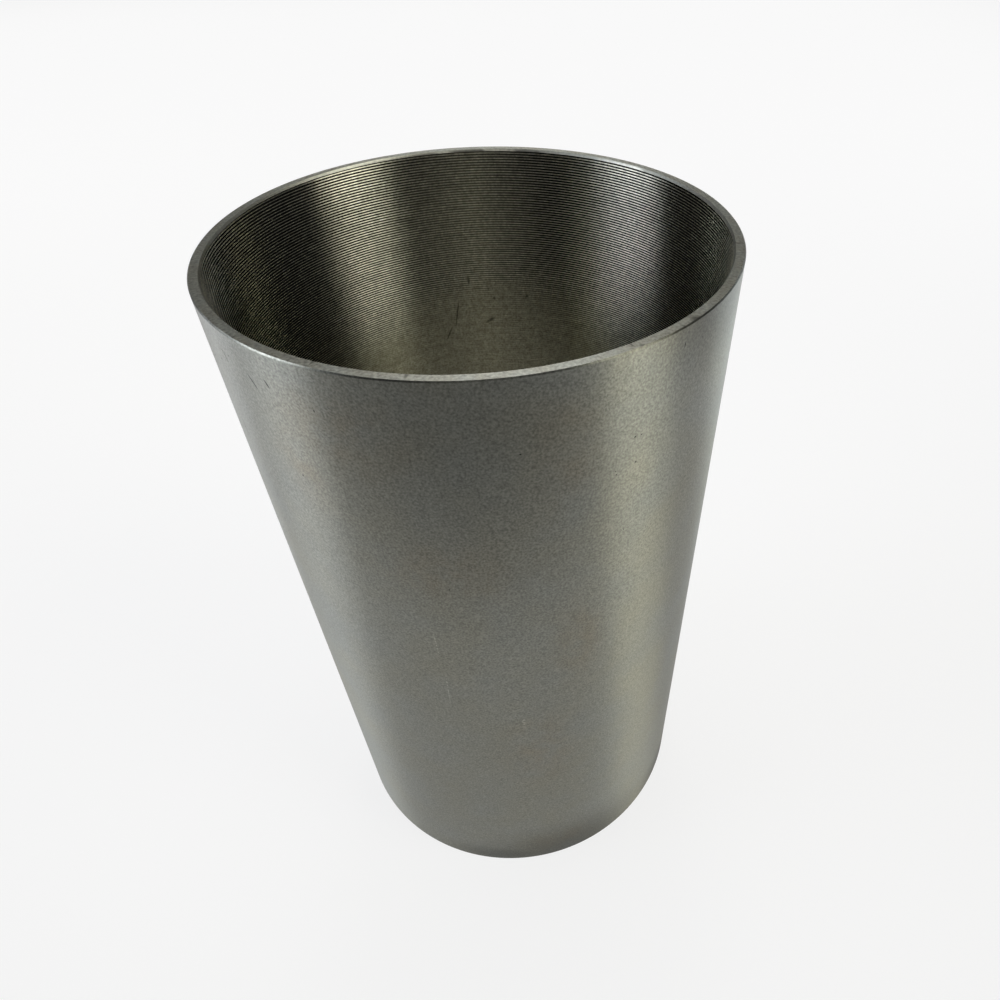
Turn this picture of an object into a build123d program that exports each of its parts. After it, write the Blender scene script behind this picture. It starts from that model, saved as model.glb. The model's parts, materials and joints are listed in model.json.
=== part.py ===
"""A plain dry cylinder liner: a thin cast-iron sleeve, ground outside and rough-bored inside.

It stands on its lower end. The origin is the centre of that end and +Z runs up the bore.
All sizes are in millimetres.
"""

import os

from build123d import *

# Driving dimensions.
bore_diameter = 86.5  # as rough-bored, with stock left to finish it in the block
wall_thickness = 1.9
liner_length = 150.0
bore_chamfer_width = 0.3  # lead at each mouth of the bore, measured across the end face
bore_chamfer_depth = 0.4  # the same lead, measured down the bore
outer_edge_break = 0.2  # the small bevel round the outside of each end

bore_radius = bore_diameter / 2

# The sleeve: its wall's section stands on the +X side of the axis and is turned about it.
with BuildPart() as cylinder_liner:
    with BuildSketch(Plane.XZ):
        with Locations((bore_radius, 0)):
            Rectangle(wall_thickness, liner_length, align=(Align.MIN, Align.MIN))
    revolve(axis=Axis.Z)

    # The outside of both ends is only broken, so that it doesn't scrape the block's bore.
    wall_cylinders = cylinder_liner.faces().filter_by(GeomType.CYLINDER)
    outer_wall = wall_cylinders.sort_by(SortBy.AREA)[-1]
    chamfer(outer_wall.edges().filter_by(GeomType.CIRCLE), outer_edge_break)

    # Both mouths of the bore have a slightly steeper lead for the rings and the boring head.
    for end in (0, -1):
        end_face = cylinder_liner.faces().filter_by(Plane.XY).sort_by(Axis.Z)[end]
        mouth_edge = end_face.edges().filter_by(GeomType.CIRCLE).sort_by(SortBy.RADIUS)[0]
        chamfer(mouth_edge, bore_chamfer_width, bore_chamfer_depth, reference=end_face)

cylinder_liner.part.label = "cylinder_liner"

os.makedirs("parts", exist_ok=True)
export_step(cylinder_liner.part, "parts/cylinder_liner.step")
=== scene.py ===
"""Looks for the cylinder liner: its bored, ground and faced surfaces, on a pale floor in soft light.

Lengths are in metres. Bearings round the liner are in degrees, counter-clockwise from +X seen from
above, so 270 faces the camera. Heights are above the lower end.
"""

import json
import math

import bmesh
import bpy
from mathutils import Matrix, Vector


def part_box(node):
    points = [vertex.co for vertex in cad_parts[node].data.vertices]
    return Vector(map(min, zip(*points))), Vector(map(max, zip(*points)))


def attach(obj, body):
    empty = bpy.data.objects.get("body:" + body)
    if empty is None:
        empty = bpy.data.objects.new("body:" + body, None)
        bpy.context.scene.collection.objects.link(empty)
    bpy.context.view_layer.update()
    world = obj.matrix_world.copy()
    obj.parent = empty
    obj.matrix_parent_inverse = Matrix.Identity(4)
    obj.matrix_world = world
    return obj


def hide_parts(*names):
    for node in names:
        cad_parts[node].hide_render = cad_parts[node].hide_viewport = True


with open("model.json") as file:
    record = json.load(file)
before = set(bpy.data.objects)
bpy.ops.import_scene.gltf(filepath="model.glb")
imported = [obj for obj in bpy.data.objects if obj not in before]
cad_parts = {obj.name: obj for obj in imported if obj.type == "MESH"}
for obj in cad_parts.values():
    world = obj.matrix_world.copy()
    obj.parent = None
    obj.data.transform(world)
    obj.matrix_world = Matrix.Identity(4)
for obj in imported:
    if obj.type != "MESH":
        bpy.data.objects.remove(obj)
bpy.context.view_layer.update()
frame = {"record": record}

MM = 0.001

# The liner's sizes. Only the leads' width isn't in the frame.
mounts = {mount["name"]: mount for mount in frame["record"]["mounts"]}
node_low, node_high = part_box("cylinder_liner")
LENGTH = node_high.z - node_low.z
OUTER_R = mounts["outer_wall"]["dims"]["r_mm"] * MM
BORE_R = mounts["bore"]["dims"]["r_mm"] * MM
MOUTH_DEPTH = (LENGTH - mounts["bore"]["dims"]["length_mm"] * MM) / 2
MOUTH_WIDTH = 0.3 * MM
EDGE_BREAK = (LENGTH - mounts["outer_wall"]["dims"]["length_mm"] * MM) / 2

# The boring tool's helix: one scallop to each turn, cut a little into the wall.
FEED = 0.527 * MM
SCALLOP_DEPTH = 0.075 * MM
RISE = 0.32 * FEED  # how much of a turn the flank that faces up takes; the rest faces down

# The mesh.
COLUMNS = 160  # round the liner; they are also the helix's steps
OUTSIDE_ROWS = 8  # up the outside
WELD = 0.004 * MM  # corners closer than this become one

# Material slots. A scallop has one flank that faces up and one that faces down; their materials hold a
# painted highlight and painted shade.
OUTSIDE, UPWARD, DOWNWARD, ENDS, LEADS = range(5)
SLOT_OF = {
    "outside": OUTSIDE, "bottom_break": OUTSIDE, "top_break": OUTSIDE, "upward": UPWARD,
    "downward": DOWNWARD, "bottom_face": ENDS, "top_face": ENDS, "bottom_mouth": LEADS,
    "top_mouth": LEADS,
}

# Where each surface lies on the map: (low, high) in V. The ends and bevels get thin strips.
MAP_ROWS = {
    "outside": (0.005, 0.455),
    "upward": (0.465, 0.685),
    "downward": (0.695, 0.915),
    "bottom_break": (0.920, 0.930),
    "bottom_face": (0.932, 0.944),
    "bottom_mouth": (0.946, 0.956),
    "top_mouth": (0.960, 0.970),
    "top_face": (0.972, 0.984),
    "top_break": (0.986, 0.996),
}
MAP_SIDE = 0.002  # what the map leaves free at either side, in U


# ---------------------------------------------------------------------------------------------
# The liner's mesh
# ---------------------------------------------------------------------------------------------


def scallop_depth(height):
    """How deep the wall is cut at a height above a crest."""
    height %= FEED
    return SCALLOP_DEPTH * (height / RISE if height < RISE else (FEED - height) / (FEED - RISE))


def helix_profile(column):
    """The bore's wall at one column, from its lower mouth to its upper one: (radius, height, crest).

    The helix starts within a turn below the lower mouth, and what lies past a mouth is cut off.
    """
    low, high = MOUTH_DEPTH, LENGTH - MOUTH_DEPTH
    start = low - FEED * (1 - column / COLUMNS)
    points = []
    for turn in range(math.ceil((high - low) / FEED) + 2):
        for crest in (True, False):
            height = start + FEED * turn + (0 if crest else RISE)
            depth = 0 if crest else SCALLOP_DEPTH
            if not low <= height <= high:
                height = min(max(height, low), high)
                depth = scallop_depth(height - start)
            points.append((BORE_R + depth, height, crest))
    return points


def liner_profile(column):
    """The section at one column, as a closed run of (radius, height, sharp, strip that follows)."""
    bore = helix_profile(column)
    points = [(OUTER_R - EDGE_BREAK, 0.0, True, "bottom_face"),
              (BORE_R + MOUTH_WIDTH, 0.0, True, "bottom_mouth")]
    for index, (radius, height, crest) in enumerate(bore):
        last = index == len(bore) - 1
        strip = "top_mouth" if last else "upward" if crest else "downward"
        points.append((radius, height, crest or index == 0 or last, strip))
    points.append((BORE_R + MOUTH_WIDTH, LENGTH, True, "top_face"))
    points.append((OUTER_R - EDGE_BREAK, LENGTH, True, "top_break"))
    for row in range(OUTSIDE_ROWS + 1):
        share = row / OUTSIDE_ROWS
        height = (LENGTH - EDGE_BREAK) * (1 - share) + EDGE_BREAK * share
        ends = row in (0, OUTSIDE_ROWS)
        points.append((OUTER_R, height, ends, "bottom_break" if row == OUTSIDE_ROWS else "outside"))
    return points


def map_row(strip, height, upper):
    """V on the map. Each kind of flank fills its own strip, so its faces are stretched to a whole turn."""
    low, high = MAP_ROWS[strip]
    if strip == "outside":
        share = height / LENGTH
    elif strip in ("upward", "downward"):
        spare = FEED - RISE if strip == "upward" else RISE
        share = (height + (spare if upper else 0)) / LENGTH
    else:
        share = 1.0 if upper else 0.0
    return low + (high - low) * share


def add_columns(bm, sharp):
    """The corners of every column: (corner, height, strip that follows). A layer holds the sharp ones."""
    columns = []
    for column in range(COLUMNS + 1):
        angle = 2 * math.pi * column / COLUMNS
        made = []
        for radius, height, is_sharp, strip in liner_profile(column):
            vert = bm.verts.new((radius * math.cos(angle), radius * math.sin(angle), height))
            vert[sharp] = int(is_sharp)
            made.append((vert, height, strip))
        columns.append(made)
    return columns


def add_faces(bm, columns):
    """The faces between neighbouring columns, with their materials and their places on the map."""
    uv = bm.loops.layers.uv.new("OFBake")
    count = len(columns[0])
    for column in range(COLUMNS):
        here, there = columns[column], columns[column + 1]
        for ring in range(count):
            after = (ring + 1) % count
            strip = here[ring][2]
            corners = [here[ring], here[after], there[after], there[ring]]
            face = bm.faces.new([corner[0] for corner in corners])
            face.material_index = SLOT_OF[strip]
            face.smooth = True
            for index, (loop, corner) in enumerate(zip(face.loops, corners)):
                across = (column + (1 if index in (2, 3) else 0)) / COLUMNS
                loop[uv].uv = (MAP_SIDE + (1 - 2 * MAP_SIDE) * across,
                               map_row(strip, corner[1], index in (1, 2)))


def build_liner():
    """One closed mesh: columns of the section, joined side by side round the axis."""
    mesh = bpy.data.meshes.new("cylinder_liner_looks")
    bm = bmesh.new()
    sharp = bm.verts.layers.int.new("sharp")
    add_faces(bm, add_columns(bm, sharp))
    bmesh.ops.remove_doubles(bm, verts=bm.verts, dist=WELD)
    bmesh.ops.recalc_face_normals(bm, faces=bm.faces)
    for edge in bm.edges:
        first, second = edge.verts
        # A crest climbs a little from column to column, and a flank much more from crest to root.
        runs_round = abs(first.co.z - second.co.z) < 0.1 * FEED
        edge.smooth = not (first[sharp] and second[sharp] and runs_round)
    bm.verts.layers.int.remove(sharp)
    bm.to_mesh(mesh)
    bm.free()
    liner = bpy.data.objects.new("cylinder_liner_looks", mesh)
    bpy.context.scene.collection.objects.link(liner)
    return liner


# ---------------------------------------------------------------------------------------------
# Nodes
# ---------------------------------------------------------------------------------------------


def add(tree, kind, inputs, **settings):
    """A shader node with its settings, and with its inputs set or linked."""
    made = tree.nodes.new("ShaderNode" + kind)
    for name, value in settings.items():
        setattr(made, name, value)
    for name, value in inputs.items():
        if isinstance(value, bpy.types.NodeSocket):
            tree.links.new(value, made.inputs[name])
        else:
            made.inputs[name].default_value = value
    return made


def calculate(tree, operation, first, second):
    """What a Math node makes of two values."""
    return add(tree, "Math", {0: first, 1: second}, operation=operation).outputs[0]


def product(tree, first, *others):
    """All the values multiplied together."""
    for other in others:
        first = calculate(tree, "MULTIPLY", first, other)
    return first


def remap(tree, value, start, end, low, high, smooth=False):
    """Turns start..end into low..high, and holds low and high outside."""
    kind = "SMOOTHSTEP" if smooth else "LINEAR"
    made = add(tree, "MapRange", {"Value": value, "From Min": start, "From Max": end,
                                  "To Min": low, "To Max": high}, interpolation_type=kind)
    return made.outputs["Result"]


def between(tree, noisy, low, high):
    """A value that follows a noise from low to high. Most of a noise lies from 0.3 to 0.7."""
    return remap(tree, noisy, 0.3, 0.7, low, high)


def swing(tree, noisy, share):
    """A factor that follows a noise to either side of 1, by a share."""
    return between(tree, noisy, 1 - share, 1 + share)


def over(tree, mask, factor):
    """A factor that is 1 outside the mask and the given one inside it."""
    return remap(tree, mask, 0, 1, 1.0, factor)


def relief(tree, noisy, depth):
    """A height in metres that follows a noise."""
    return remap(tree, noisy, 0.2, 0.8, 0, depth)


def noise(tree, place, size, detail=2.0, stretch=(1, 1, 1)):
    """Solid noise in the liner's own space, 0 to 1 about a half, with spots of about the given size.

    The stretch gives the spots' share of that size along x, y and z.
    """
    scaled = add(tree, "VectorMath", {0: place, 1: [1 / (size * share) for share in stretch]},
                 operation="MULTIPLY")
    made = add(tree, "TexNoise", {"Vector": scaled.outputs["Vector"], "Scale": 1.0, "Detail": detail})
    return made.outputs["Fac"]


def blend(tree, share, first, second):
    """A colour between the first and the second, each a socket or (red, green, blue)."""
    first, second = ((*colour, 1) if isinstance(colour, tuple) else colour
                     for colour in (first, second))
    made = add(tree, "Mix", {0: share, 6: first, 7: second}, data_type="RGBA")
    return made.outputs[2]


def mottle(tree, noisy, tones):
    """A colour that wanders between two tones with a noise."""
    return blend(tree, remap(tree, noisy, 0.35, 0.65, 0, 1), *tones)


# ---------------------------------------------------------------------------------------------
# Marks of use, with painted dark reflections and a painted edge highlight among them
# ---------------------------------------------------------------------------------------------

# Each mark is an oval on a wall: (bearing, height, wide, tall, lean), in degrees and mm.
RIM = LENGTH / MM  # the height of the marks on the rim
PITS = [
    (297.0, 135.4, 0.5, 0.4, 30), (298.5, 135.3, 0.35, 0.35, 0), (297.6, 130.5, 0.5, 0.4, 0),
    (292.9, 130.3, 0.3, 0.3, 0), (293.1, 129.6, 0.35, 0.4, 0), (274.5, 137.8, 0.4, 0.35, 0),
    (295.8, 117.1, 0.3, 0.35, 0), (314.6, 119.8, 0.4, 0.5, 0), (307.9, 147.1, 0.35, 1.2, -8),
    (313.3, 146.5, 0.3, 0.5, 0), (213.4, 144.0, 0.5, 0.5, 0), (215.9, 146.2, 0.4, 0.6, 0),
    (218.2, 146.1, 0.35, 0.4, 0), (206.9, 143.9, 0.8, 1.2, 0), (208.5, 142.8, 0.6, 0.7, 0),
    (258.3, 110.7, 0.4, 0.4, 0), (209.4, 107.4, 0.6, 0.5, 0), (230.6, 129.3, 0.5, 0.4, 0),
    (239.0, 143.1, 0.3, 0.6, 20),
]
SCRATCHES = [
    (224.6, 144.0, 0.42, 3.4, 38), (229.0, 144.9, 0.36, 2.0, 30), (216.5, 145.4, 0.32, 2.2, 12),
    (211.0, 131.0, 0.4, 3.6, 8), (204.0, 122.0, 0.5, 3.0, -6), (199.5, 139.0, 0.7, 4.0, 4),
]
RUBS = [  # bright
    (252.9, 95.5, 0.3, 9.0, 1), (253.4, 80.0, 0.28, 14.0, -2), (271.1, 69.0, 1.0, 5.0, 2),
    (278.5, 121.1, 0.5, 0.4, 0), (266.1, 117.5, 0.4, 0.4, 0), (319.8, 126.0, 0.25, 6.0, 0),
    (321.3, 120.8, 0.2, 8.0, 0), (317.0, 133.0, 0.2, 5.0, 0),
]
PAINTED_DARK_REFLECTIONS = [  # broad and dark: painted dark reflections on the wall, of dark surroundings in front near the top and of the shade on the floor near the foot
    (264, 153, 62, 130, 0), (268, 152, 40, 34, 0), (284, 0, 70, 44, 0), (262, 2, 44, 18, 0),
    (325, 152, 46, 34, 0), (331, 0, 44, 28, 0),
]
STAINS = [  # warm
    (242, 140, 30, 26, 0), (231, 132, 14, 26, 10), (283, 137, 16, 26, 0), (258, 114, 34, 22, 0),
    (286, 92, 14, 40, 0), (275, 56, 24, 44, 0), (280, 8, 30, 16, 0),
]
PAINTED_EDGE_HIGHLIGHTS = [(229, RIM, 27, 0.6, 0)]  # a painted highlight on the broken edge, where it faces the lamps on the left
NICKS = [  # in the rim's outer edge
    (bearing, RIM, wide, 1.0, 0) for bearing, wide in (
        (311.0, 2.6), (307.4, 1.0), (303.6, 0.7), (297.5, 1.2), (288.5, 0.6), (236.0, 0.8),
        (222.0, 1.0), (213.0, 0.7))
]
SPOTS = [  # on the rim's face
    (bearing, RIM, wide, 0.8, 0) for bearing, wide in ((257, 0.8), (240, 0.6), (346, 0.7), (296, 0.5))
]
BORE_SCRATCHES = [
    (97.5, 113.0, 0.45, 9.0, 12), (100.8, 108.0, 0.5, 5.0, 28), (92.8, 121.2, 0.7, 3.0, 0),
    (85.2, 116.3, 0.9, 0.9, 0), (74.5, 117.0, 0.9, 1.0, 0), (87.0, 110.5, 0.9, 3.6, 60),
]
WORN = [(90, 108, 62, 36, 0), (92, 40, 70, 40, 0), (118, 106, 30, 16, 0)]  # both flanks take the worn tone here, without their painted highlight and shade
FADED = [(92, 134, 44, 56, 0), (84, 114, 64, 34, 0)]  # the flanks' painted highlight and shade half drawn to the worn tone

# Where the marks on the rim are centred: nicks reach in from outside it, and spots out from inside it.
NICK_R = OUTER_R + 1.2 * MM
SPOT_R = OUTER_R - 2.4 * MM
MARK_REACH = 2 * MM  # how far a mark reaches off its wall, besides half its width


def wall_marks(tree, place, marks, radius, soft=0.45):
    """One mask of marks, 1 inside each one's soft share and fading to 0 at its edge."""
    total = None
    for bearing, height, wide, tall, lean in marks:
        angle = math.radians(bearing)
        along = Vector((-math.sin(angle), math.cos(angle), 0))
        outward = Vector((math.cos(angle), math.sin(angle), 0))
        axes = Matrix((along, Vector((0, 0, 1)), outward)).transposed()
        turned = axes @ Matrix.Rotation(math.radians(lean), 3, "Z")
        oval = {
            "Vector": place,
            "Location": radius * outward + Vector((0, 0, height * MM)),
            "Rotation": turned.to_euler(),
            "Scale": (wide * MM / 2, tall * MM / 2, MARK_REACH + wide * MM / 2),
        }
        local = add(tree, "Mapping", oval, vector_type="TEXTURE")
        away = add(tree, "VectorMath", {0: local.outputs["Vector"]}, operation="LENGTH").outputs["Value"]
        mask = remap(tree, away, soft, 1.0, 1.0, 0.0, smooth=True)
        total = mask if total is None else calculate(tree, "MAXIMUM", total, mask)
    return total


# ---------------------------------------------------------------------------------------------
# Materials
# ---------------------------------------------------------------------------------------------

# Colours of bare iron. A pair is the two tones of a mottled surface.
GROUND_TONES = (0.221, 0.225, 0.200), (0.237, 0.234, 0.195)
STAIN_TONE = (0.230, 0.214, 0.169)
FACED_TONES = (0.39, 0.382, 0.32), (0.36, 0.367, 0.325)
LEAD_TONES = (0.62, 0.61, 0.54), (0.56, 0.565, 0.51)
# Not the iron's own colour: a painted highlight for the flank that faces up and painted shade for the
# flank that faces down.
UPWARD_FLANK_PAINTED_HIGHLIGHT = (0.81, 0.80, 0.675)
DOWNWARD_FLANK_PAINTED_SHADE = (0.025, 0.023, 0.018)
WORN_TONE = (0.35, 0.335, 0.25)

# The lay of the cutting marks: how strongly it spreads the shine along the axis, from 0 to 1.
GROUND_LAY, BORED_LAY, NO_LAY = 0.95, 0.98, 0.0
QUARTER_TURN = 0.25

# The two flanks' painted highlight and painted shade start to draw together at one depth below each end,
# and meet in the worn tone at the other.
RINGS_FADE, RINGS_GONE = 28 * MM, 52 * MM


def iron(name, lay):
    """A bare metal, cut round the axis, with no colour yet: (material, tree, shader, place)."""
    material = bpy.data.materials.new(name)
    material.use_nodes = True
    tree = material.node_tree
    shader = tree.nodes["Principled BSDF"]
    shader.inputs["Metallic"].default_value = 1
    shader.inputs["Anisotropic"].default_value = lay
    if lay:
        shader.inputs["Anisotropic Rotation"].default_value = QUARTER_TURN
        tangent = add(tree, "Tangent", {}, direction_type="RADIAL", axis="Z")
        tree.links.new(tangent.outputs["Tangent"], shader.inputs["Tangent"])
    place = add(tree, "TexCoord", {}).outputs["Object"]
    return material, tree, shader, place


def finish(tree, shader, colour, brightness, roughness, height):
    """Joins colour times brightness, roughness and a relief in metres to the shader."""
    shaded = add(tree, "VectorMath", {0: colour, "Scale": brightness}, operation="SCALE")
    tree.links.new(shaded.outputs["Vector"], shader.inputs["Base Color"])
    tree.links.new(roughness, shader.inputs["Roughness"])
    bump = add(tree, "Bump", {"Height": height, "Strength": 1.0, "Distance": 1.0})
    tree.links.new(bump.outputs["Normal"], shader.inputs["Normal"])


def ground_iron():
    """The outside: a fine even grain, faint clouds of tone, and the marks and stains of handling, with
    broad painted dark reflections on the wall and a painted highlight on the broken edge.
    """
    material, tree, shader, place = iron("ground_iron", GROUND_LAY)
    grain = noise(tree, place, 0.36 * MM)
    clouds = noise(tree, place, 14 * MM, detail=4.0)
    lines = noise(tree, place, 6 * MM, detail=3.0, stretch=(1, 1, 0.06))
    blotches = noise(tree, place, 5 * MM, detail=3.0)
    pits = wall_marks(tree, place, PITS + SCRATCHES, OUTER_R)
    rubs = product(tree, wall_marks(tree, place, RUBS, OUTER_R), remap(tree, grain, 0.4, 0.6, 0.2, 1.0))
    stains = product(tree, wall_marks(tree, place, STAINS, OUTER_R, soft=0.0),
                     remap(tree, blotches, 0.35, 0.65, 0.1, 1.0))
    painted_dark_reflections = wall_marks(tree, place, PAINTED_DARK_REFLECTIONS, OUTER_R, soft=0.1)
    painted_edge_highlight = wall_marks(tree, place, PAINTED_EDGE_HIGHLIGHTS, OUTER_R, soft=0.2)
    tone = blend(tree, stains, mottle(tree, clouds, GROUND_TONES), STAIN_TONE)
    # The painted dark reflections darken the wall by about half, and the painted highlight brightens the
    # broken edge.
    brightness = product(tree, swing(tree, grain, 0.28), swing(tree, lines, 0.03), over(tree, pits, 0.2),
                         over(tree, painted_dark_reflections, 0.52), over(tree, rubs, 1.45), over(tree, painted_edge_highlight, 2.4))
    roughness = between(tree, clouds, 0.35, 0.38)
    height = calculate(tree, "SUBTRACT", relief(tree, grain, 0.01 * MM),
                       remap(tree, pits, 0, 1, 0, 0.03 * MM))
    finish(tree, shader, tone, brightness, roughness, height)
    return material


def bored_iron(name, painted_flank_tone, edge):
    """One flank of the scallops. The flank that faces up takes a painted highlight and the one that faces
    down painted shade, and each turns from that painted tone near the mouths to the worn one deep inside.

    The edge is how bright it is where it is seen at a grazing angle; on the flank that faces down it is
    turned low as more painted shade.
    """
    material, tree, shader, place = iron(name, BORED_LAY)
    # A low Specular Tint darkens the grazing reflection: painted shade on the flank that faces down.
    shader.inputs["Specular Tint"].default_value = (edge, edge, edge, 1)
    up = add(tree, "SeparateXYZ", {"Vector": place}).outputs["Z"]
    from_middle = calculate(tree, "ABSOLUTE", calculate(tree, "SUBTRACT", up, LENGTH / 2), 0)
    grain = noise(tree, place, 0.5 * MM)
    chatter = noise(tree, place, 1.6 * MM)
    streaks = noise(tree, place, 14 * MM, detail=3.0, stretch=(1, 1, 0.04))
    rubbed = product(tree, wall_marks(tree, place, WORN, BORE_R, soft=0.2),
                     remap(tree, streaks, 0.35, 0.6, 0.7, 1.0))
    faded = wall_marks(tree, place, FADED, BORE_R, soft=0.2)
    marks = wall_marks(tree, place, BORE_SCRATCHES, BORE_R)
    near_mouth = remap(tree, from_middle, LENGTH / 2 - RINGS_GONE, LENGTH / 2 - RINGS_FADE, 0, 1,
                       smooth=True)
    painted_share = product(tree, near_mouth, calculate(tree, "SUBTRACT", 1.0, rubbed), over(tree, faded, 0.48))
    tone = blend(tree, painted_share, WORN_TONE, painted_flank_tone)
    brightness = product(tree, swing(tree, grain, 0.28), swing(tree, chatter, 0.14),
                         swing(tree, streaks, 0.10), over(tree, marks, 0.45))
    roughness = between(tree, chatter, 0.33, 0.37)
    finish(tree, shader, tone, brightness, roughness, relief(tree, grain, 0.006 * MM))
    return material


def faced_iron():
    """The end faces: a matt, speckled facing cut, with nicks and dark spots on the rim."""
    material, tree, shader, place = iron("faced_iron", NO_LAY)
    grain = noise(tree, place, 0.5 * MM, detail=3.0)
    clouds = noise(tree, place, 4 * MM)
    nicks = calculate(tree, "MAXIMUM", wall_marks(tree, place, NICKS, NICK_R),
                      wall_marks(tree, place, SPOTS, SPOT_R))
    brightness = product(tree, swing(tree, grain, 0.34), swing(tree, clouds, 0.1), over(tree, nicks, 0.4))
    roughness = between(tree, grain, 0.40, 0.45)
    finish(tree, shader, mottle(tree, clouds, FACED_TONES), brightness, roughness,
           relief(tree, grain, 0.02 * MM))
    return material


def lead_iron():
    """The leads at the mouths: a smoother cut that glints."""
    material, tree, shader, place = iron("lead_iron", NO_LAY)
    grain = noise(tree, place, 0.7 * MM)
    clouds = noise(tree, place, 9 * MM)
    brightness = swing(tree, grain, 0.15)
    roughness = between(tree, clouds, 0.36, 0.40)
    finish(tree, shader, mottle(tree, clouds, LEAD_TONES), brightness, roughness,
           relief(tree, grain, 0.01 * MM))
    return material


# ---------------------------------------------------------------------------------------------
# Floor, camera, light and world
# ---------------------------------------------------------------------------------------------

FLOOR_HALF = 3.0  # half its side
FLOOR_WHITE = 0.8  # how much of the floor is plain white where it is looked at; the rest keeps the shadow
WORLD_LEVEL = 0.07  # dim, so that the bands of light on the metal keep their dark gaps

# The camera, fitted to the liner's outline in the photo.
CAMERA_BACK, CAMERA_UP = 2.6812 * OUTER_R, 1.0811 * OUTER_R  # from the axis and above the upper end
LOOK_DOWN, LOOK_RIGHT, ROLL = 0.7699, 0.1197, 0.0110  # radians
FOCAL_MM, SENSOR_MM = 25.778, 36
SHIFT_X, SHIFT_Y = -0.06208, 0.02077  # the picture is cropped off centre
NEAR_CLIP = 0.01

# The lamps.
BODY = Vector((0, 0, 0.1))  # what the boxes round the liner aim at
BOX_DISTANCE = 0.7  # from the axis
COOL, PALE, WARM = (0.85, 0.89, 1.0), (0.84, 0.90, 0.98), (1.0, 0.985, 0.84)
GREEN, PLAIN = (0.86, 0.98, 1.0), (1, 1, 1)


def build_floor():
    """A pale floor that shows white to the camera and in the metal, and still takes the shadow."""
    mesh = bpy.data.meshes.new("floor")
    corners = [(x * FLOOR_HALF, y * FLOOR_HALF, 0) for x, y in ((-1, -1), (1, -1), (1, 1), (-1, 1))]
    mesh.from_pydata(corners, [], [(0, 1, 2, 3)])
    floor = bpy.data.objects.new("floor", mesh)
    bpy.context.scene.collection.objects.link(floor)
    material = bpy.data.materials.new("floor")
    material.use_nodes = True
    tree = material.node_tree
    shader = tree.nodes["Principled BSDF"]
    shader.inputs["Base Color"].default_value = (0.9, 0.9, 0.9, 1)
    shader.inputs["Roughness"].default_value = 0.9
    shader.inputs["Specular IOR Level"].default_value = 0.1
    rays = add(tree, "LightPath", {})
    seen = rays.outputs["Is Camera Ray"]
    for ray in ("Is Glossy Ray", "Is Transmission Ray"):
        seen = calculate(tree, "MAXIMUM", seen, rays.outputs[ray])
    share = calculate(tree, "MULTIPLY", seen, FLOOR_WHITE)
    white = add(tree, "Emission", {"Color": (1, 1, 1, 1), "Strength": 1.0})
    mixed = add(tree, "MixShader", {0: share, 1: shader.outputs[0], 2: white.outputs[0]})
    tree.links.new(mixed.outputs[0], tree.nodes["Material Output"].inputs["Surface"])
    mesh.materials.append(material)


def build_camera():
    """The camera looks down into the bore from close in front."""
    data = bpy.data.cameras.new("camera")
    data.sensor_width = SENSOR_MM
    data.lens = FOCAL_MM
    data.clip_start = NEAR_CLIP
    data.shift_x = SHIFT_X
    data.shift_y = SHIFT_Y
    camera = bpy.data.objects.new("camera", data)
    bpy.context.scene.collection.objects.link(camera)
    turn = (Matrix.Rotation(-LOOK_RIGHT, 4, "Z") @ Matrix.Rotation(math.pi / 2 - LOOK_DOWN, 4, "X")
            @ Matrix.Rotation(-ROLL, 4, "Z"))
    camera.matrix_world = Matrix.Translation((0, -CAMERA_BACK, LENGTH + CAMERA_UP)) @ turn
    bpy.context.scene.camera = camera


def around(bearing, elevation, height=BODY.z):
    """A place for a box, seen from the liner's axis at a bearing and an elevation."""
    turn, rise = math.radians(bearing), math.radians(elevation)
    level = BOX_DISTANCE * math.cos(rise)
    return Vector((level * math.cos(turn), level * math.sin(turn), height + BOX_DISTANCE * math.sin(rise)))


def soft_box(name, place, aim, size, spread, brightness, colour):
    """An area lamp aimed at a point. A spread under 180 degrees is its grid."""
    lamp = bpy.data.lights.new(name, "AREA")
    lamp.shape = "RECTANGLE"
    lamp.size, lamp.size_y = size
    lamp.spread = math.radians(spread)
    lamp.energy = brightness * math.pi * size[0] * size[1]
    lamp.color = colour
    box = bpy.data.objects.new(name, lamp)
    bpy.context.scene.collection.objects.link(box)
    box.location = place
    box.rotation_euler = (Vector(place) - Vector(aim)).to_track_quat("Z", "Y").to_euler()
    box.visible_camera = False


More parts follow.
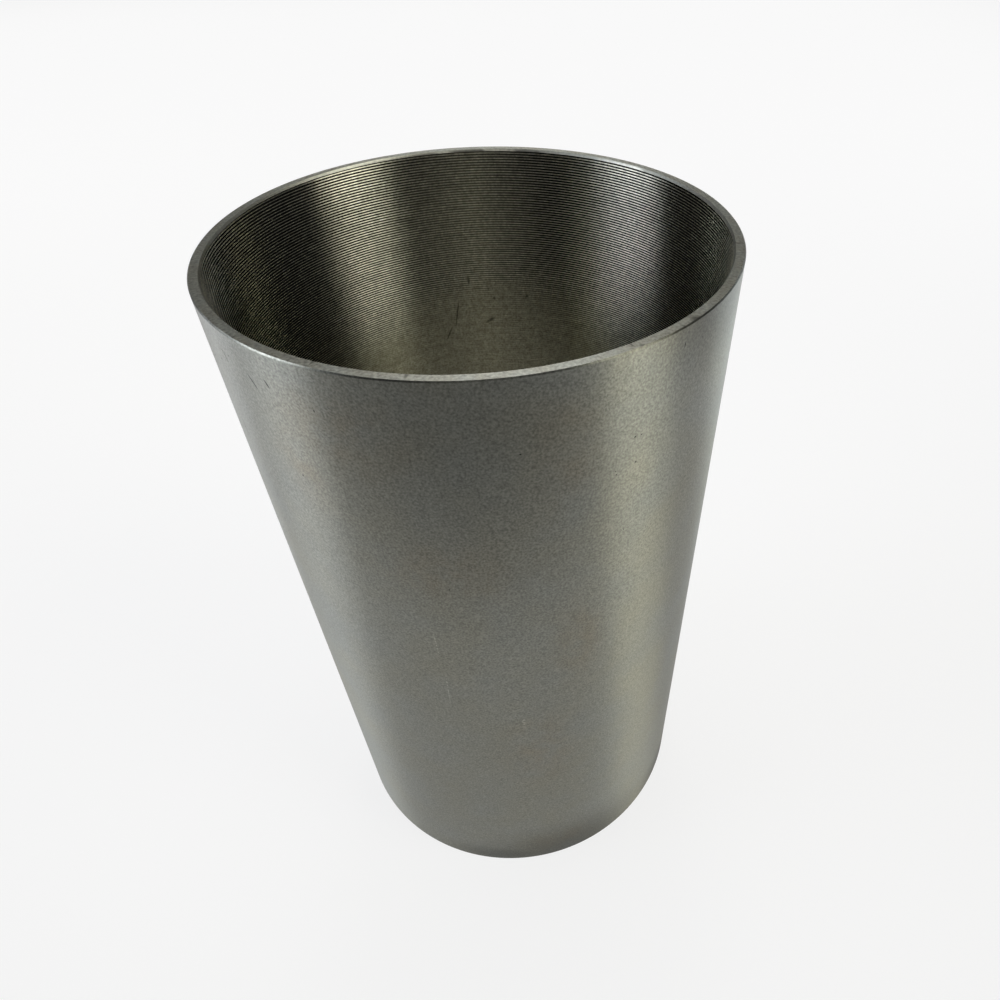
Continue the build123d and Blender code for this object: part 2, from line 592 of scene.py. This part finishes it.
def build_lights():
    """Gridded boxes round the liner, one over its front, an open one overhead and a large one behind.

    Each is: name, place, aim, (wide, tall), spread in degrees, brightness, colour.
    """
    soft_box("left_low", around(187, 3), BODY, (0.46, 0.17), 50, 0.62, COOL)
    soft_box("left_side", around(158, 0), BODY, (0.24, 0.12), 50, 0.55, COOL)
    soft_box("left_mid", around(181, 24), BODY, (0.44, 0.24), 50, 0.27, PALE)
    soft_box("left_high", around(180, 45), BODY, (0.40, 0.24), 60, 0.16, PALE)
    soft_box("right_low", around(330, 3), BODY, (0.40, 0.17), 50, 0.62, WARM)
    soft_box("right_mid", around(329, 24), BODY, (0.46, 0.24), 50, 0.15, WARM)
    soft_box("right_high", around(332, 45), BODY, (0.32, 0.24), 60, 0.4, WARM)
    soft_box("right_rear", around(28, 0, height=0.04), BODY, (0.46, 0.08), 50, 0.6, GREEN)
    soft_box("back_box", around(87, 39), BODY, (0.24, 0.26), 45, 0.2, PLAIN)
    soft_box("front_top", (0, -0.25, 0.6), (0, 0.04, 0.15), (0.5, 0.12), 40, 0.05, WARM)
    soft_box("top_box", (0, 0, 0.9), (0, 0, 0), (0.4, 0.4), 180, 0.8, PLAIN)
    soft_box("back_top", (0, 0.85, 0.9), (0, 0.85, 0), (2.0, 1.5), 60, 0.75, PLAIN)


def build_world():
    """A plain white world, dimmed."""
    world = bpy.data.worlds.new("world")
    world.use_nodes = True
    background = world.node_tree.nodes["Background"]
    background.inputs["Color"].default_value = (1, 1, 1, 1)
    background.inputs["Strength"].default_value = WORLD_LEVEL
    bpy.context.scene.world = world


liner = build_liner()
# The two bored materials are lit and shaded copies of one iron: a painted highlight on the flanks that
# face up and painted shade on those that face down.
for material in (ground_iron(), bored_iron("bored_iron_upward_painted_highlight", UPWARD_FLANK_PAINTED_HIGHLIGHT, 1.0),
                 bored_iron("bored_iron_downward_painted_shade", DOWNWARD_FLANK_PAINTED_SHADE, 0.1), faced_iron(), lead_iron()):
    liner.data.materials.append(material)
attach(liner, "root")
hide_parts("cylinder_liner")
build_floor()
build_camera()
build_lights()
build_world()
bpy.context.scene.view_settings.view_transform = "Standard"
